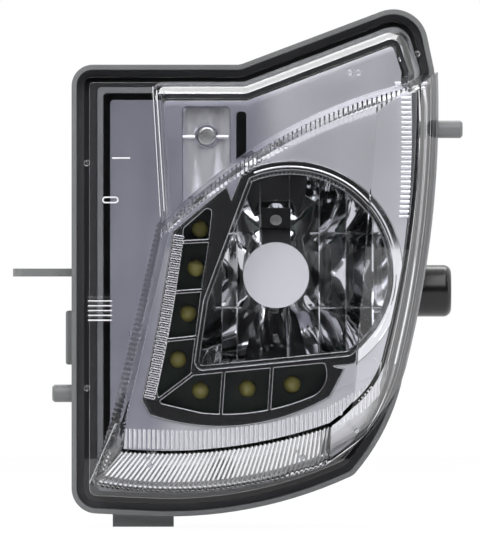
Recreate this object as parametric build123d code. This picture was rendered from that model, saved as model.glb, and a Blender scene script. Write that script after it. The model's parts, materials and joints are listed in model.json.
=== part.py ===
from build123d import *
import os
from math import pi

# Sizes are millimetres. X runs across the lamp, Y from its front to its back, Z up.
# The origin is the centre of the bolt hole in the side ear.
# An outline is a list of corners: place, corner radius, and a point on the arc to the next corner.

# Rim of the housing, seen from the front
rim = [
    ((11.8, 78.0), 8.0, None),
    ((75.0, 78.0), 6.0, None),
    ((142.1, 103.3), 13.0, None),
    ((147.8, 76.3), 12.0, (146.6, 20.0)),
    ((136.9, -34.7), 10.0, (129.6, -58.0)),
    ((117.6, -76.0), 6.0, (80.0, -88.4)),
    ((40.0, -91.3), 0.0, None),
    ((11.8, -90.0), 9.5, None),
]
least_radius = 1.5

# Housing
rim_front = -18.0
lip_wall = 1.9
channel_depth = 10.0
wall = 2.2
lip_inset = 8.5
lip_shift = 1.2
lip_setback = 1.0
bowl_back = 42.0
bowl_draft = 4.0

# Side ear with its bolt hole and sleeve
ear_tip = 10.5
ear_width = 18.0
ear_thick = 3.0
ear_radius = 6.0
sleeve_bore = 3.25
sleeve_wall = 1.25
seat_gap = 0.05

# Locating pins and lower tab
pin_radius = 3.3
pin_depth = -12.0
pin_chamfer = 0.8
left_pin_tip = 4.5
left_pin_z = -45.4
right_pin_tip = 158.6
right_pin_z = 53.8
tab_left = 27.2
tab_width = 22.9
tab_bottom = -95.5
tab_thick = 5.0
tab_front = -13.0

# Driver pocket on the left wall
pocket_face = 12.0
pocket_depth = 8.0
pocket_z = -24.5
pocket_high = 20.3
pocket_long = 25.0
pocket_wall = 1.5
cover_proud = 2.6
cover_lip = 1.6
cover_edge = 1.0
board_thick = 1.6
board_gap = 0.3

# Vent spigot and rubber cap on the right wall
vent_y = 8.0
vent_z = -6.9
vent_tip = 154.7
vent_radius = 9.75
vent_wall = 2.7
vent_length = 17.0
vent_end = 5.0
vent_edge = 3.0
spigot_wall = 1.8

# Lens
lens_inset = 4.7
lens_wall = 2.6
flange_thick = 2.5
tongue_wall = 2.0
ledge = 0.3
seal_thick = 2.0
step_rise = 8.5
step_slope = 4.5
fold_wide = 1.3
foot_gap = 0.5
bulge_top = 36.0
crease_x = 121.0
crease_rise = 29.0
left_rise = 22.5
middle_rise = 27.0
right_rise = 12.5
crease_lean = 4.6
flute_pitch = 1.9
flute_height = 0.6
ridge_start = 21.0
ridge_slope = 0.875
mark_length = 9.0
mark_pitch = 1.8
mark_width = 0.5
mark_count = 5
mark_left = 1.0

# Step of the lens above the flat flange
lens_step = [
    ((42.0, 71.4), 4.0, None),
    ((76.5, 71.4), 5.0, None),
    ((136.5, 94.2), 8.0, None),
    ((142.6, 76.0), 0.0, None),
    ((139.0, 10.0), 0.0, None),
    ((46.0, 5.0), 0.0, None),
]
# Main bulge of the lens where it leaves the flange, and near its front
bulge_foot = [
    ((43.9, 18.6), 0.0, (94.5, 57.0)),
    ((149.3, 75.2), 0.0, (147.7, 24.6)),
    ((137.3, -35.4), 0.0, (126.0, -57.6)),
    ((108.0, -72.9), 0.0, (64.0, -82.9)),
    ((18.0, -80.4), 0.0, None),
    ((26.6, -55.7), 0.0, (36.5, -14.0)),
]
bulge_front = [
    ((47.5, 15.6), 0.0, (92.0, 48.6)),
    ((137.0, 66.5), 0.0, (132.0, 14.0)),
    ((124.0, -33.0), 0.0, (118.6, -43.6)),
    ((110.0, -52.6), 0.0, (72.0, -60.6)),
    ((36.5, -60.6), 0.0, None),
    ((31.9, -55.6), 0.0, (41.2, -14.0)),
]
top_side, right_side, corner_side, skirt_side, edge_side, left_side = range(6)

# Bezel
bezel_wall = 2.0
bezel_gap = 9.0
bezel_side_gap = 1.2
bezel_front = -14.0
bezel_inset = 13.2
bezel_over = 9.4
bezel_step_rise = 5.5
bezel_flute = 0.7
bezel_pitch = 1.72
boss_radius = 4.6
boss_wall = 1.6
boss_rise = 1.4
lower_boss_rise = 5.0
bezel_pocket = [
    ((53.4, 62.4), 2.0, None),
    ((71.4, 62.4), 2.0, None),
    ((71.4, 20.0), 0.0, None),
    ((53.4, 20.0), 0.0, None),
]
bezel_slot = [
    ((73.6, 60.4), 1.0, None),
    ((77.4, 60.4), 1.0, None),
    ((77.4, 20.0), 0.0, None),
    ((73.6, 20.0), 0.0, None),
]
patch_face = [
    ((110.6, -33.2), 0.6, None),
    ((126.2, -31.6), 0.6, None),
    ((124.4, -38.6), 0.6, None),
    ((108.2, -44.8), 0.6, None),
]
patch_rise = 0.5

# Screws that hold the bezel: place, and how far the seat stands off the bezel's base
upper_screw = (62.6, 51.2)
lower_screw = (66.4, -72.2)
screw_radius = 1.9
screw_head = 3.8
screw_head_high = 2.4
screw_length = 16.0
screw_gap = 0.3
post_radius = 4.6

# Window of the reflector, and the windows of the small lamps
window = [
    ((78.5, 35.2), 1.6, (131.95, 0.2)),
    ((116.0, -31.0), 3.0, None),
    ((57.6, -36.8), 3.0, None),
    ((61.5, -10.3), 0.0, None),
]
ring_width = 3.4
frame_edge = [
    ((50.0, 15.4), 1.5, None),
    ((70.0, 32.4), 0.0, None),
    ((90.0, -30.0), 0.0, None),
    ((114.0, -36.0), 0.0, None),
    ((108.6, -46.4), 2.5, (78.0, -56.9)),
    ((41.2, -53.2), 2.0, None),
    ((38.4, -47.6), 2.0, (45.2, -14.0)),
]
lamp_band = [
    ((54.0, 16.6), 1.2, None),
    ((64.8, 26.0), 1.2, None),
    ((63.2, 11.0), 0.0, None),
    ((60.2, -9.0), 0.0, None),
    ((56.4, -38.6), 1.0, None),
    ((106.4, -33.8), 1.5, (107.0, -40.5)),
    ((102.0, -46.2), 0.0, (86.0, -51.2)),
    ((60.5, -52.4), 0.0, None),
    ((45.4, -48.9), 1.2, None),
    ((43.9, -44.6), 0.0, (50.6, -10.0)),
]
dividers = [
    ((50.0, 11.2), (66.0, 12.0)),
    ((48.0, -7.6), (64.0, -6.4)),
    ((45.0, -25.6), (62.0, -23.8)),
    ((60.4, -35.6), (42.0, -49.6)),
    ((69.1, -35.0), (67.8, -54.0)),
    ((87.1, -33.0), (85.8, -54.0)),
]
divider_width = 1.3
frame_thick = 3.5
frame_proud = 0.8
frame_gap = 0.2
bar_length = 3.8
bar_rise = 0.7
bar_inset = 0.7
bar_fill = 0.55

# Tray, board and domes of the small lamps
tray_wall = 1.2
tray_back = -13.2
dome_places = [
    (60.1, 16.3),
    (58.4, 1.6),
    (55.6, -15.4),
    (51.8, -32.6),
    (60.2, -44.4),
    (77.8, -43.6),
    (94.6, -42.0),
]
dome_radius = 3.3
dome_base = 1.2
ear_places = [(67.4, 17.0), (42.0, -51.2), (109.9, -42.6)]
board_ear = 3.4
board_screw = 1.2
board_screw_head = 2.3
board_screw_high = 1.4

# Bulb axis and reflector
axis_x = 88.6
axis_z = -1.0
focal = 19.0
vertex_y = 26.0
mirror_front = -9.0
mirror_gap = 1.5
mirror_wall = 2.0
mirror_back = 3.0
facet_sag = 0.6
facet_step = 0.3
facet_columns = [-31.0, -20.4, -14.7, -6.1, 5.1, 16.4, 26.5, 35.9, 48.0]
facet_rows = [-40.0, -12.7, 15.4, 45.0]
neck_radius = 14.0
neck_back = 35.0
neck_bore = 10.2

# Aiming: the reflector tilts on two balls, pushed by a screw
pivot_y = 31.0
pivot_reach = 32.5
ball_radius = 4.0
ball_gap = 0.15
stem_radius = 2.0
socket_radius = 6.3
socket_back = 3.4
socket_front = 5.2
socket_mouth = 3.3
boss_root = 0.55
boss_thick = 1.5
stud_post = 4.5
stud_clear = 1.4
aim_drop = 35.0
rib_thick = 1.8
rib_high = 2.4
rib_pitch = 21.0
rib_clear = 3.5
aim_radius = 2.5
aim_bore_gap = 0.25
aim_nut_gap = 0.4
aim_tip = 24.0
aim_boss = 6.3
aim_boss_back = 46.4
aim_head = 5.8
aim_head_high = 5.0
aim_teeth = 8
aim_slack = 0.2
clip_radius = 4.8
clip_thick = 1.0
nut_radius = 5.0
nut_flange = 6.6
nut_long = 6.0
nut_flange_thick = 1.4
nut_y = 30.0
arm_width = 16.0
arm_below = 8.5

# Bulb, its shield and the rear boot
bulb_flange = 15.4
bulb_flange_thick = 2.0
bulb_body = 13.0
bulb_body_long = 17.0
bulb_plug_long = 8.0
ring_groove = 1.2
capsule_radius = 6.0
capsule_tip = -6.0
capsule_seat = 3.0
capsule_dome = 0.9
shell_wide = 22.0
shell_high = 15.0
shell_wall = 1.6
shell_long = 13.0
blade_wide = 6.0
blade_thick = 0.8
blade_long = 9.0
blade_space = 8.0
shield_radius = 12.35
shield_front = -14.0
shield_skirt = 7.0
shield_wall = 1.0
leg_width = 11.0
leg_top = 25.0
leg_foot = 17.6
pad_front = 16.0
pad_radius = 4.6
rivet_rise = 20.6
rivet_head = 2.3
rivet_shank = 1.4
rivet_deep = 5.0
hole_back = 22.0
collar_wall = 3.0
collar_long = 6.0
boot_wall = 2.4
boot_lip_gap = 1.2
boot_lip = 2.2
boot_cover = 5.0

# Connector of the small lamps on the back wall
socket_x = 48.0
socket_z = -46.0
socket_wide = 20.0
socket_high = 13.0
socket_wall = 1.6
socket_long = 14.0
socket_flange = 2.2
socket_floor = 2.0

# Worked out from the sizes above
channel_floor = rim_front + channel_depth
floor_back = channel_floor + wall
lip_front = rim_front + lip_setback
bowl_floor = bowl_back - wall
flange_front = rim_front - flange_thick
foot_y = rim_front - foot_gap
step_front = flange_front - step_rise
bezel_back = bezel_front + bezel_wall
bezel_foot = lens_wall + bezel_side_gap
bezel_set = lens_wall + bezel_gap
aim_z = axis_z - aim_drop
reach = 160.0


def front(depth):
    return Plane(origin=(0, depth, 0), x_dir=(1, 0, 0), z_dir=(0, -1, 0))


def sides(shape):
    edges = []
    for (start, _, via), (end, _, _) in zip(shape, shape[1:] + shape[:1]):
        edges.append(ThreePointArc(start, via, end) if via else Line(start, end))
    return edges


def outline(shape, inset=0.0):
    face = make_face(sides(shape))
    if inset:
        face = offset(face, -inset, kind=Kind.INTERSECTION)
    for corner, radius, _ in shape:
        if radius:
            vertex = face.vertices().sort_by_distance(Vector(*corner, 0))[0]
            face = fillet(vertex, max(radius - inset, least_radius))
    return face


def slab(face, start, end):
    return extrude(front(start) * face, amount=end - start, dir=(0, 1, 0))


def between(first, first_y, second, second_y):
    return loft([front(first_y) * first, front(second_y) * second], ruled=True)


def rod_y(place, radius, start, end):
    x, z = place
    tube = Cylinder(radius, end - start, align=(Align.CENTER, Align.CENTER, Align.MIN))
    return Pos(x, start, z) * Rot(-90, 0, 0) * tube


def rod_x(y, z, radius, start, end):
    tube = Cylinder(radius, end - start, align=(Align.CENTER, Align.CENTER, Align.MIN))
    return Pos(start, y, z) * Rot(0, 90, 0) * tube


def block(x, y, z):
    (x0, x1), (y0, y1), (z0, z1) = x, y, z
    return Pos((x0 + x1) / 2, (y0 + y1) / 2, (z0 + z1) / 2) * Box(x1 - x0, y1 - y0, z1 - z0)


def turned(place, points):
    # Points are radius and depth, turned about an axis along Y
    x, z = place
    profile = make_face(Polyline(*[(radius, depth) for radius, depth in points], close=True))
    return Pos(x, 0, z) * revolve(profile, Axis.Y)


def inner_lip(inset=0.0):
    return Pos(lip_shift, 0) * outline(rim, lip_inset + inset)


def bezel_base(inset=0.0):
    return Pos(lip_shift, 0) * outline(rim, bezel_inset + inset)


# Walls of the bulge: plain arcs, or V flutes whose crests stand off them


def runs(shape, inset, flutes):
    # Points along each side, moved in by the inset, with the same count at every inset
    plain = sides(shape)
    edges = offset(make_face(plain), -inset).edges() if inset else plain
    found = []
    for side, base in enumerate(plain):
        edge = edges.sort_by_distance(base.position_at(0.5))[0] if inset else base
        near_start = (edge.position_at(0) - base.position_at(0)).length
        near_end = (edge.position_at(1) - base.position_at(0)).length
        steps = 2 * flutes.get(side, 1)
        places = [edge.position_at(i / steps) for i in range(steps + 1)]
        found.append(places[::-1] if near_end < near_start else places)
    for side, places in enumerate(found):
        corner = (found[side - 1][-1] + places[0]) / 2
        found[side - 1][-1] = corner
        places[0] = corner
    return found


def ring(shape, inset, flutes, height):
    edges = []
    for side, places in enumerate(runs(shape, inset, flutes)):
        if side in flutes:
            for i in range(1, len(places), 2):
                run = (places[i + 1] - places[i - 1]).normalized()
                places[i] = places[i] + Vector(-run.Y, run.X, 0) * height
            edges += Polyline(*places).edges()
        elif shape[side][2]:
            edges.append(ThreePointArc(*places))
        else:
            edges.append(Line(places[0], places[-1]))
    return make_face(edges)


def flute_counts(walls, pitch):
    plain = sides(bulge_foot)
    return {side: max(2, round(plain[side].length / pitch)) for side in walls}


def envelope(setback):
    # Everything behind the lens's front faces, which meet at the leaning crease
    far = reach
    left = ThreePointArc(
        (0, rim_front - left_rise),
        (crease_x / 2, rim_front - middle_rise),
        (crease_x, rim_front - crease_rise),
    )
    slope = (crease_rise - right_rise) / (bulge_foot[right_side][0][0] - crease_x)
    right_end = (crease_x + far / 2, rim_front - crease_rise + slope * far / 2)
    back = Polyline(right_end, (right_end[0], far), (-far, far), (-far, rim_front - left_rise), left @ 0)
    face = make_face(left.edges() + Line(left @ 1, right_end).edges() + back.edges())
    solid = extrude(Pos(-crease_x, setback) * face, amount=far, both=True)
    return Pos(crease_x, 0, 0) * Rot(0, crease_lean, 0) * solid


def bulge(inset, setback, walls=(), pitch=flute_pitch, height=flute_height):
    flutes = flute_counts(walls, pitch)
    foot = ring(bulge_foot, inset, flutes, height)
    top = ring(bulge_front, inset, flutes, height)
    body = between(foot, foot_y, top, foot_y - bulge_top)
    return body & envelope(setback)


def ridge():
    # Everything under the fluted bevel along the top of the bulge
    corners = (bulge_foot[0][0], bulge_foot[0][2], bulge_foot[1][0])
    ends = (bulge_front[0][0], bulge_front[0][2], bulge_front[1][0])
    share = ridge_start / bulge_top
    places = [(x + (to_x - x) * share, z + (to_z - z) * share) for (x, z), (to_x, to_z) in zip(corners, ends)]
    faces = []
    for depth in (0, bulge_top):
        drop = (depth - ridge_start) * ridge_slope
        arc = ThreePointArc(*[(x, z - drop) for x, z in places])
        count = 2 * round(arc.length / flute_pitch)
        points = [arc.position_at(i / count) for i in range(count + 1)]
        for i in range(1, count, 2):
            run = (points[i + 1] - points[i - 1]).normalized()
            points[i] = points[i] + Vector(-run.Y, run.X, 0) * flute_height
        rest = [(reach, points[-1].Y), (reach, -reach), (-reach, -reach), (-reach, points[0].Y)]
        faces.append(make_face(Polyline(*points, *rest, close=True).edges()))
    return between(faces[0], foot_y, faces[1], foot_y - bulge_top)


def foot_face(inset):
    return ring(bulge_foot, inset, {}, 0)


# Housing


def ear():
    root = rim[0][0][0] + lip_inset + lip_shift + wall
    half = ear_width / 2
    plate = make_face(Polyline((-ear_tip, -half), (root, -half), (root, half), (-ear_tip, half), close=True))
    tips = plate.vertices().sort_by(Axis.X)[:2]
    plate = fillet(tips, min(ear_radius, half - least_radius))
    return extrude(plate, amount=ear_thick / 2, both=True)


def locating_pin(tip, root, z):
    low, high = sorted((tip, root))
    pin = rod_x(pin_depth, z, pin_radius, low, high)
    end = pin.edges().filter_by(GeomType.CIRCLE).sort_by(Axis.X)[0 if tip < root else -1]
    return chamfer(end, pin_chamfer)


def driver_box(inset, start, end):
    half = pocket_high / 2 - inset
    return block(
        (start, end),
        (floor_back + inset, floor_back + pocket_long - inset),
        (pocket_z - half, pocket_z + half),
    )


def back_ribs():
    # Stiffening ribs on the back wall, clear of what is mounted there
    lines = [Pos(axis_x + (i + 0.5) * rib_pitch, 0) * Rectangle(rib_thick, 2 * reach) for i in range(-4, 4)]
    lines += [Pos(0, axis_z + i * rib_pitch) * Rectangle(2 * reach, rib_thick) for i in (-2, 2)]
    ribs = (Sketch() + lines) & inner_lip(bowl_draft + rib_clear)
    ribs -= Pos(axis_x, axis_z) * Circle(hole_back + collar_wall + boot_wall + rib_clear)
    ribs -= Pos(axis_x, aim_z) * Circle(aim_boss + rib_clear)
    clear = 2 * (socket_flange + rib_clear)
    ribs -= Pos(socket_x, socket_z) * Rectangle(socket_wide + clear, socket_high + clear)
    return slab(ribs, bowl_back - wall / 2, bowl_back + rib_high)


def housing():
    left = rim[0][0][0]
    inside = left + lip_inset + lip_shift + 2 * wall
    body = slab(outline(rim), rim_front, floor_back)
    body += between(inner_lip(), floor_back, inner_lip(bowl_draft), bowl_back)
    body += ear()
    body += locating_pin(left_pin_tip, left + lip_wall, left_pin_z)
    body += locating_pin(right_pin_tip, rim[4][0][0], right_pin_z)
    body += block((tab_left, tab_left + tab_width), (tab_front, tab_front + tab_thick),
                  (tab_bottom, rim[6][0][1] + lip_wall))
    body += driver_box(0, pocket_face, inside)
    body += rod_x(vent_y, vent_z, vent_radius - vent_wall, axis_x, vent_tip - vent_end)
    groove = slab(outline(rim, lip_wall), rim_front - reach, channel_floor)
    groove -= slab(inner_lip(), lip_front, channel_floor)
    cavity = slab(inner_lip(wall), rim_front - reach, floor_back)
    cavity += between(inner_lip(wall), floor_back, inner_lip(wall + bowl_draft), bowl_floor)
    body = body - groove - cavity
    # The pocket is cut from outside, and its floor stays in front of the bowl wall
    body -= driver_box(pocket_wall, pocket_face - reach, pocket_face + pocket_depth)
    body -= rod_x(vent_y, vent_z, vent_radius - vent_wall - spigot_wall, axis_x, vent_tip)
    for place in (upper_screw, lower_screw):
        body += rod_y(place, post_radius, bezel_back, bowl_floor + wall / 2)
        body -= rod_y(place, screw_radius + seat_gap, bezel_back, bezel_front + screw_length + screw_gap)
    body += back_ribs()
    # Collar of the bulb opening, posts of the ball studs and boss of the aiming screw
    bulb = (axis_x, axis_z)
    body += rod_y(bulb, hole_back + collar_wall, bowl_floor, bowl_back + collar_long)
    body -= rod_y(bulb, hole_back, bowl_floor - wall, bowl_back + collar_long)
    for sign in (-1, 1):
        place = (axis_x + sign * pivot_reach, axis_z)
        body += rod_y(place, stud_post, pivot_y + socket_back + stud_clear, bowl_back + wall)
        body -= rod_y(place, stem_radius + seat_gap, pivot_y, bowl_back)
    body += rod_y((axis_x, aim_z), aim_boss, bowl_floor, aim_boss_back)
    body -= rod_y((axis_x, aim_z), aim_radius + aim_bore_gap, bowl_floor - wall, aim_boss_back)
    body -= block(
        (socket_x - socket_wide / 2 + 2 * socket_wall, socket_x + socket_wide / 2 - 2 * socket_wall),
        (bowl_floor - wall, bowl_back),
        (socket_z - socket_high / 2 + 2 * socket_wall, socket_z + socket_high / 2 - 2 * socket_wall),
    )
    body -= Cylinder(sleeve_bore + sleeve_wall + seat_gap, 2 * ear_thick)
    return body


def ear_sleeve():
    return Cylinder(sleeve_bore + sleeve_wall, ear_thick) - Cylinder(sleeve_bore, 2 * ear_thick)


def driver_cover():
    half = pocket_high / 2
    plate = block(
        (pocket_face - cover_proud, pocket_face),
        (floor_back + board_gap, floor_back + pocket_long),
        (pocket_z - half, pocket_z + half),
    )
    face = plate.faces().sort_by(Axis.X)[0]
    plate = fillet(face.edges(), min(cover_edge, cover_proud / 2))
    return plate + driver_box(pocket_wall + board_gap, pocket_face, pocket_face + cover_lip)


def driver_board():
    start = pocket_face + cover_lip + board_gap
    return driver_box(pocket_wall + board_gap, start, start + board_thick)


def vent_cap():
    cap = rod_x(vent_y, vent_z, vent_radius, vent_tip - vent_length, vent_tip)
    end = cap.edges().filter_by(GeomType.CIRCLE).sort_by(Axis.X)[-1]
    cap = fillet(end, min(vent_edge, vent_radius / 2))
    bore = vent_radius - vent_wall + seat_gap
    return cap - rod_x(vent_y, vent_z, bore, vent_tip - 2 * vent_length, vent_tip - vent_end)


# Lens


def lens_marks():
    left = rim[0][0][0] + lens_inset + mark_left
    marks = []
    for i in range(mark_count):
        z = -mark_length - i * mark_pitch
        marks.append(block((left, left + mark_length), (flange_front - mark_width, flange_front),
                           (z - mark_width, z)))
    return marks


def step_end(inset=0.0):
    # Front of the upper step, whose left side is steeper than the rest
    corners = list(lens_step)
    for i in (0, -1):
        (x, z), radius, via = corners[i]
        corners[i] = ((x - step_slope + fold_wide, z), radius, via)
    return outline(corners, inset + step_slope)


def lens():
    fluted = (skirt_side, edge_side, left_side)
    body = slab(outline(rim, lens_inset), flange_front, rim_front)
    body += between(outline(lens_step), flange_front, step_end(), step_front)
    body += bulge(0, 0, fluted) & ridge()
    body += lens_marks()
    hollow_edge = lens_inset + tongue_wall + ledge
    hollow = between(outline(lens_step, lens_wall), rim_front, step_end(lens_wall), step_front + lens_wall)
    hollow += bulge(lens_wall, lens_wall)
    hollow += slab(foot_face(lens_wall), foot_y, rim_front)
    hollow &= slab(outline(rim, hollow_edge), rim_front - reach, rim_front)
    tongue = slab(outline(rim, lens_inset), rim_front, channel_floor - seal_thick)
    tongue -= slab(outline(rim, lens_inset + tongue_wall), rim_front, channel_floor - seal_thick)
    return body - hollow + tongue


def lens_seal():
    start = channel_floor - seal_thick
    bead = slab(outline(rim, lip_wall), start, channel_floor)
    return bead - slab(inner_lip(), start, channel_floor)


# Bezel


def bezel():
    edge = bezel_foot
    thin = edge + bezel_wall
    fluted = (right_side, left_side)
    over = slab(outline(rim, bezel_over), rim_front - reach, foot_y)
    under = slab(outline(rim, bezel_over + bezel_wall), rim_front - reach, foot_y)
    step_y = bezel_front - bezel_step_rise
    base, inner_base = bezel_base(), bezel_base(bezel_wall)
    body = slab(base, bezel_front, bezel_back)
    body += slab(outline(lens_step, edge) & base, step_y, bezel_back)
    body += slab(foot_face(edge) & base, foot_y, bezel_back)
    body += bulge(edge, bezel_set, fluted, bezel_pitch, bezel_flute) & over
    hollow = slab(outline(lens_step, thin) & inner_base, step_y + bezel_wall, bezel_back)
    hollow += slab(foot_face(thin) & inner_base, foot_y, bezel_back)
    hollow += bulge(thin, bezel_set + bezel_wall) & under
    body -= hollow
    # Pocket of the upper screw, open to the front above the bulge
    pocket = outline(bezel_pocket) - foot_face(edge)
    walls = (outline(bezel_pocket, -bezel_wall) - foot_face(edge)) & outline(lens_step, edge) & base
    body += slab(walls, step_y, bezel_back)
    body -= slab(pocket, step_y - bezel_wall, bezel_front)
    body -= slab(outline(bezel_slot) - foot_face(edge), step_y - bezel_wall, bezel_back)
    # Bosses and holes of the two screws
    body += rod_y(upper_screw, boss_radius, bezel_front - boss_rise, bezel_back)
    body += rod_y(lower_screw, boss_radius + boss_wall, bezel_front - lower_boss_rise, bezel_back)
    body -= rod_y(lower_screw, boss_radius, bezel_front - reach, bezel_front)
    body -= rod_y(upper_screw, screw_head + screw_gap, bezel_front - reach, bezel_front)
    for place in (upper_screw, lower_screw):
        body -= rod_y(place, screw_radius + screw_gap, bezel_front, bezel_back)
    patch = slab(outline(patch_face), rim_front - reach, 0)
    body += patch & envelope(bezel_set - patch_rise) - envelope(bezel_set + bezel_wall / 2)
    return body - slab(offset(frame_outline(), frame_gap), rim_front - reach, bezel_back)


def frame_outline():
    return outline(window, -ring_width) + outline(frame_edge)


def lamp_windows():
    windows = outline(lamp_band)
    for start, end in dividers:
        strip = Line(start, end)
        windows -= make_face(offset(strip, divider_width / 2).edges())
    return windows


def trim_frame():
    outer = frame_outline()
    plate = slab(outer - outline(window) - lamp_windows(), rim_front - reach, 0)
    set_front = bezel_set - frame_proud
    body = plate & envelope(set_front) - envelope(set_front + frame_thick)
    # Bars along the outer left edge
    edge = sides(frame_edge)[-1]
    count = round(edge.length / bezel_pitch)
    bars = []
    for i in range(1, count):
        start = edge.position_at(i / count)
        run = edge.tangent_at(i / count)
        across = Vector(-run.Y, run.X, 0) * -1
        middle = start + across * (bar_inset + bar_length / 2)
        bar = Pos(middle.X, middle.Y) * Rot(0, 0, Vector(1, 0, 0).get_signed_angle(across, Vector(0, 0, 1)))
        bars.append(slab(bar * Rectangle(bar_length, bezel_pitch * bar_fill), rim_front - reach, 0))
    ribs = Part() + bars
    return body + (ribs & envelope(set_front - bar_rise) - envelope(set_front + frame_thick / 2))


# Small lamps


def tray_shape():
    face = outline(lamp_band, -tray_wall)
    for place in ear_places:
        face += Pos(*place) * Circle(board_ear)
    return face


def lamp_tray():
    front_set = bezel_set - frame_proud + frame_thick
    body = slab(outline(lamp_band, -tray_wall) - lamp_windows(), rim_front - reach, tray_back)
    body &= envelope(front_set)
    ears = slab(tray_shape() - lamp_windows(), tray_back - 2 * tray_wall, tray_back)
    body += ears
    for place in ear_places:
        body -= rod_y(place, board_screw + seat_gap, tray_back - reach, tray_back)
    return body


def led_board():
    body = slab(tray_shape(), tray_back, tray_back + board_thick)
    for place in ear_places:
        body -= rod_y(place, board_screw + seat_gap, tray_back, tray_back + board_thick)
    return body


def led_domes():
    domes = []
    for place in dome_places:
        base = rod_y(place, dome_radius, tray_back - dome_base, tray_back)
        ball = Pos(place[0], tray_back - dome_base, place[1]) * Sphere(dome_radius)
        domes.append(base + (ball & slab(Pos(*place) * Circle(2 * dome_radius), -reach, tray_back - dome_base)))
    return domes


def board_screws():
    seat = tray_back + board_thick
    return [
        rod_y(place, board_screw_head, seat, seat + board_screw_high)
        + rod_y(place, board_screw, tray_back - 2 * tray_wall, seat)
        for place in ear_places
    ]


def bezel_screws():
    screws = []
    for place in (upper_screw, lower_screw):
        screw = rod_y(place, screw_head, bezel_front - screw_head_high, bezel_front)
        head = screw.edges().filter_by(GeomType.CIRCLE).sort_by(Axis.Y)[0]
        screw = fillet(head, screw_head_high / 2)
        screw += rod_y(place, screw_radius, bezel_front, bezel_front + screw_length)
        x, z = place
        deep = bezel_front - screw_head_high / 2
        slot, arm = screw_head / 3, screw_head / 8
        for wide, high in ((slot, arm), (arm, slot)):
            screw -= block((x - wide, x + wide), (deep - screw_head_high, deep), (z - high, z + high))
        screws.append(screw)
    return screws


# Reflector and what moves with it


def dish(setback):
    # Space in front of a paraboloid about the bulb's axis
    wide = reach / 2
    curve = Bezier((0, vertex_y), (wide / 2, vertex_y), (wide, vertex_y - wide**2 / (4 * focal)))
    rest = Polyline(curve @ 1, (wide, -reach), (0, -reach), (0, vertex_y))
    profile = Pos(0, setback) * make_face(curve.edges() + rest.edges())
    return Pos(axis_x, 0, axis_z) * revolve(profile, Axis.Y)


def facets():
    # Each column is one upright profile of three arcs, drawn across along the slope of the bowl there
    columns = []
    for i, (left, right) in enumerate(zip(facet_columns, facet_columns[1:])):
        middle, slope = (left + right) / 2, -(left + right) / (4 * focal)
        depth = vertex_y - middle**2 / (4 * focal) - slope * (right - left) / 2 + facet_step * (i % 2)
        places = [(-z * z / (4 * focal), z) for z in facet_rows]
        edges = []
        for (low_y, low), (high_y, high) in zip(places, places[1:]):
            z = (low + high) / 2
            edges += ThreePointArc((low_y, low), (facet_sag - z * z / (4 * focal), z), (high_y, high)).edges()
        edges += Polyline(places[-1], (-reach, facet_rows[-1]), (-reach, facet_rows[0]), places[0]).edges()
        start = Plane(origin=(axis_x + left, depth, axis_z), x_dir=(0, 1, 0), z_dir=(1, 0, 0))
        across = Vector(1, slope, 0)
        columns.append(extrude(start * make_face(edges), amount=(right - left) * across.length, dir=across.normalized()))
    return Part() + columns


def pivot_places():
    return [(axis_x - pivot_reach, axis_z), (axis_x + pivot_reach, axis_z)]


def reflector():
    cup = outline(window, mirror_gap)
    bulb = (axis_x, axis_z)
    body = slab(outline(window, mirror_gap - mirror_wall), mirror_front, 2 * vertex_y) & dish(mirror_back)
    boss = socket_radius + boss_thick
    for place in pivot_places():
        body += rod_y(place, boss, pivot_y - socket_front - boss_thick, pivot_y + socket_back)
        inner_x = axis_x + (place[0] - axis_x) * boss_root
        low, high = sorted((place[0], inner_x))
        body += block((low, high), (0, pivot_y - socket_front), (axis_z - boss_thick, axis_z + boss_thick))
    arm = (axis_x - arm_width / 2, axis_x + arm_width / 2)
    body += block(arm, (nut_y - nut_long / 2, nut_y + nut_long / 2), (aim_z - arm_below, axis_z - neck_radius))
    for x in arm:
        side = boss_thick if x < axis_x else -boss_thick
        low, high = sorted((x, x + side))
        body += block((low, high), (vertex_y / 3, nut_y), (aim_z + nut_flange, axis_z - neck_radius))
    body += rod_y(bulb, neck_radius, vertex_y - focal / 2, neck_back)
    pad = rod_y((axis_x, axis_z + rivet_rise), pad_radius, pad_front, vertex_y)
    body = body - (facets() & slab(cup, mirror_front, 2 * vertex_y)) + pad
    for place in pivot_places():
        body -= rod_y(place, socket_radius + seat_gap, pivot_y - socket_front, pivot_y + 2 * socket_back)
    body -= rod_y(bulb, neck_bore, -reach, neck_back)
    body -= rod_y((axis_x, aim_z), nut_radius + seat_gap, nut_y - nut_long / 2, nut_y + nut_long / 2)
    body -= rod_y((axis_x, axis_z + rivet_rise), rivet_shank + seat_gap, pad_front, pad_front + rivet_deep)
    return body


def pivot_sockets():
    sockets = []
    for place in pivot_places():
        cup = rod_y(place, socket_radius, pivot_y - socket_front, pivot_y + socket_back)
        cup -= Pos(place[0], pivot_y, place[1]) * Sphere(ball_radius + ball_gap)
        sockets.append(cup - rod_y(place, socket_mouth, pivot_y, pivot_y + 2 * socket_back))
    return sockets


def pivot_studs():
    return [
        Pos(place[0], pivot_y, place[1]) * Sphere(ball_radius)
        + rod_y(place, stem_radius, pivot_y, bowl_back)
        for place in pivot_places()
    ]


def aim_nut():
    place = (axis_x, aim_z)
    start, end = nut_y - nut_long / 2, nut_y + nut_long / 2
    nut = rod_y(place, nut_radius, start, end)
    nut += rod_y(place, nut_flange, end, end + nut_flange_thick)
    return nut - rod_y(place, aim_radius + aim_nut_gap, start, end + nut_flange_thick)


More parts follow.
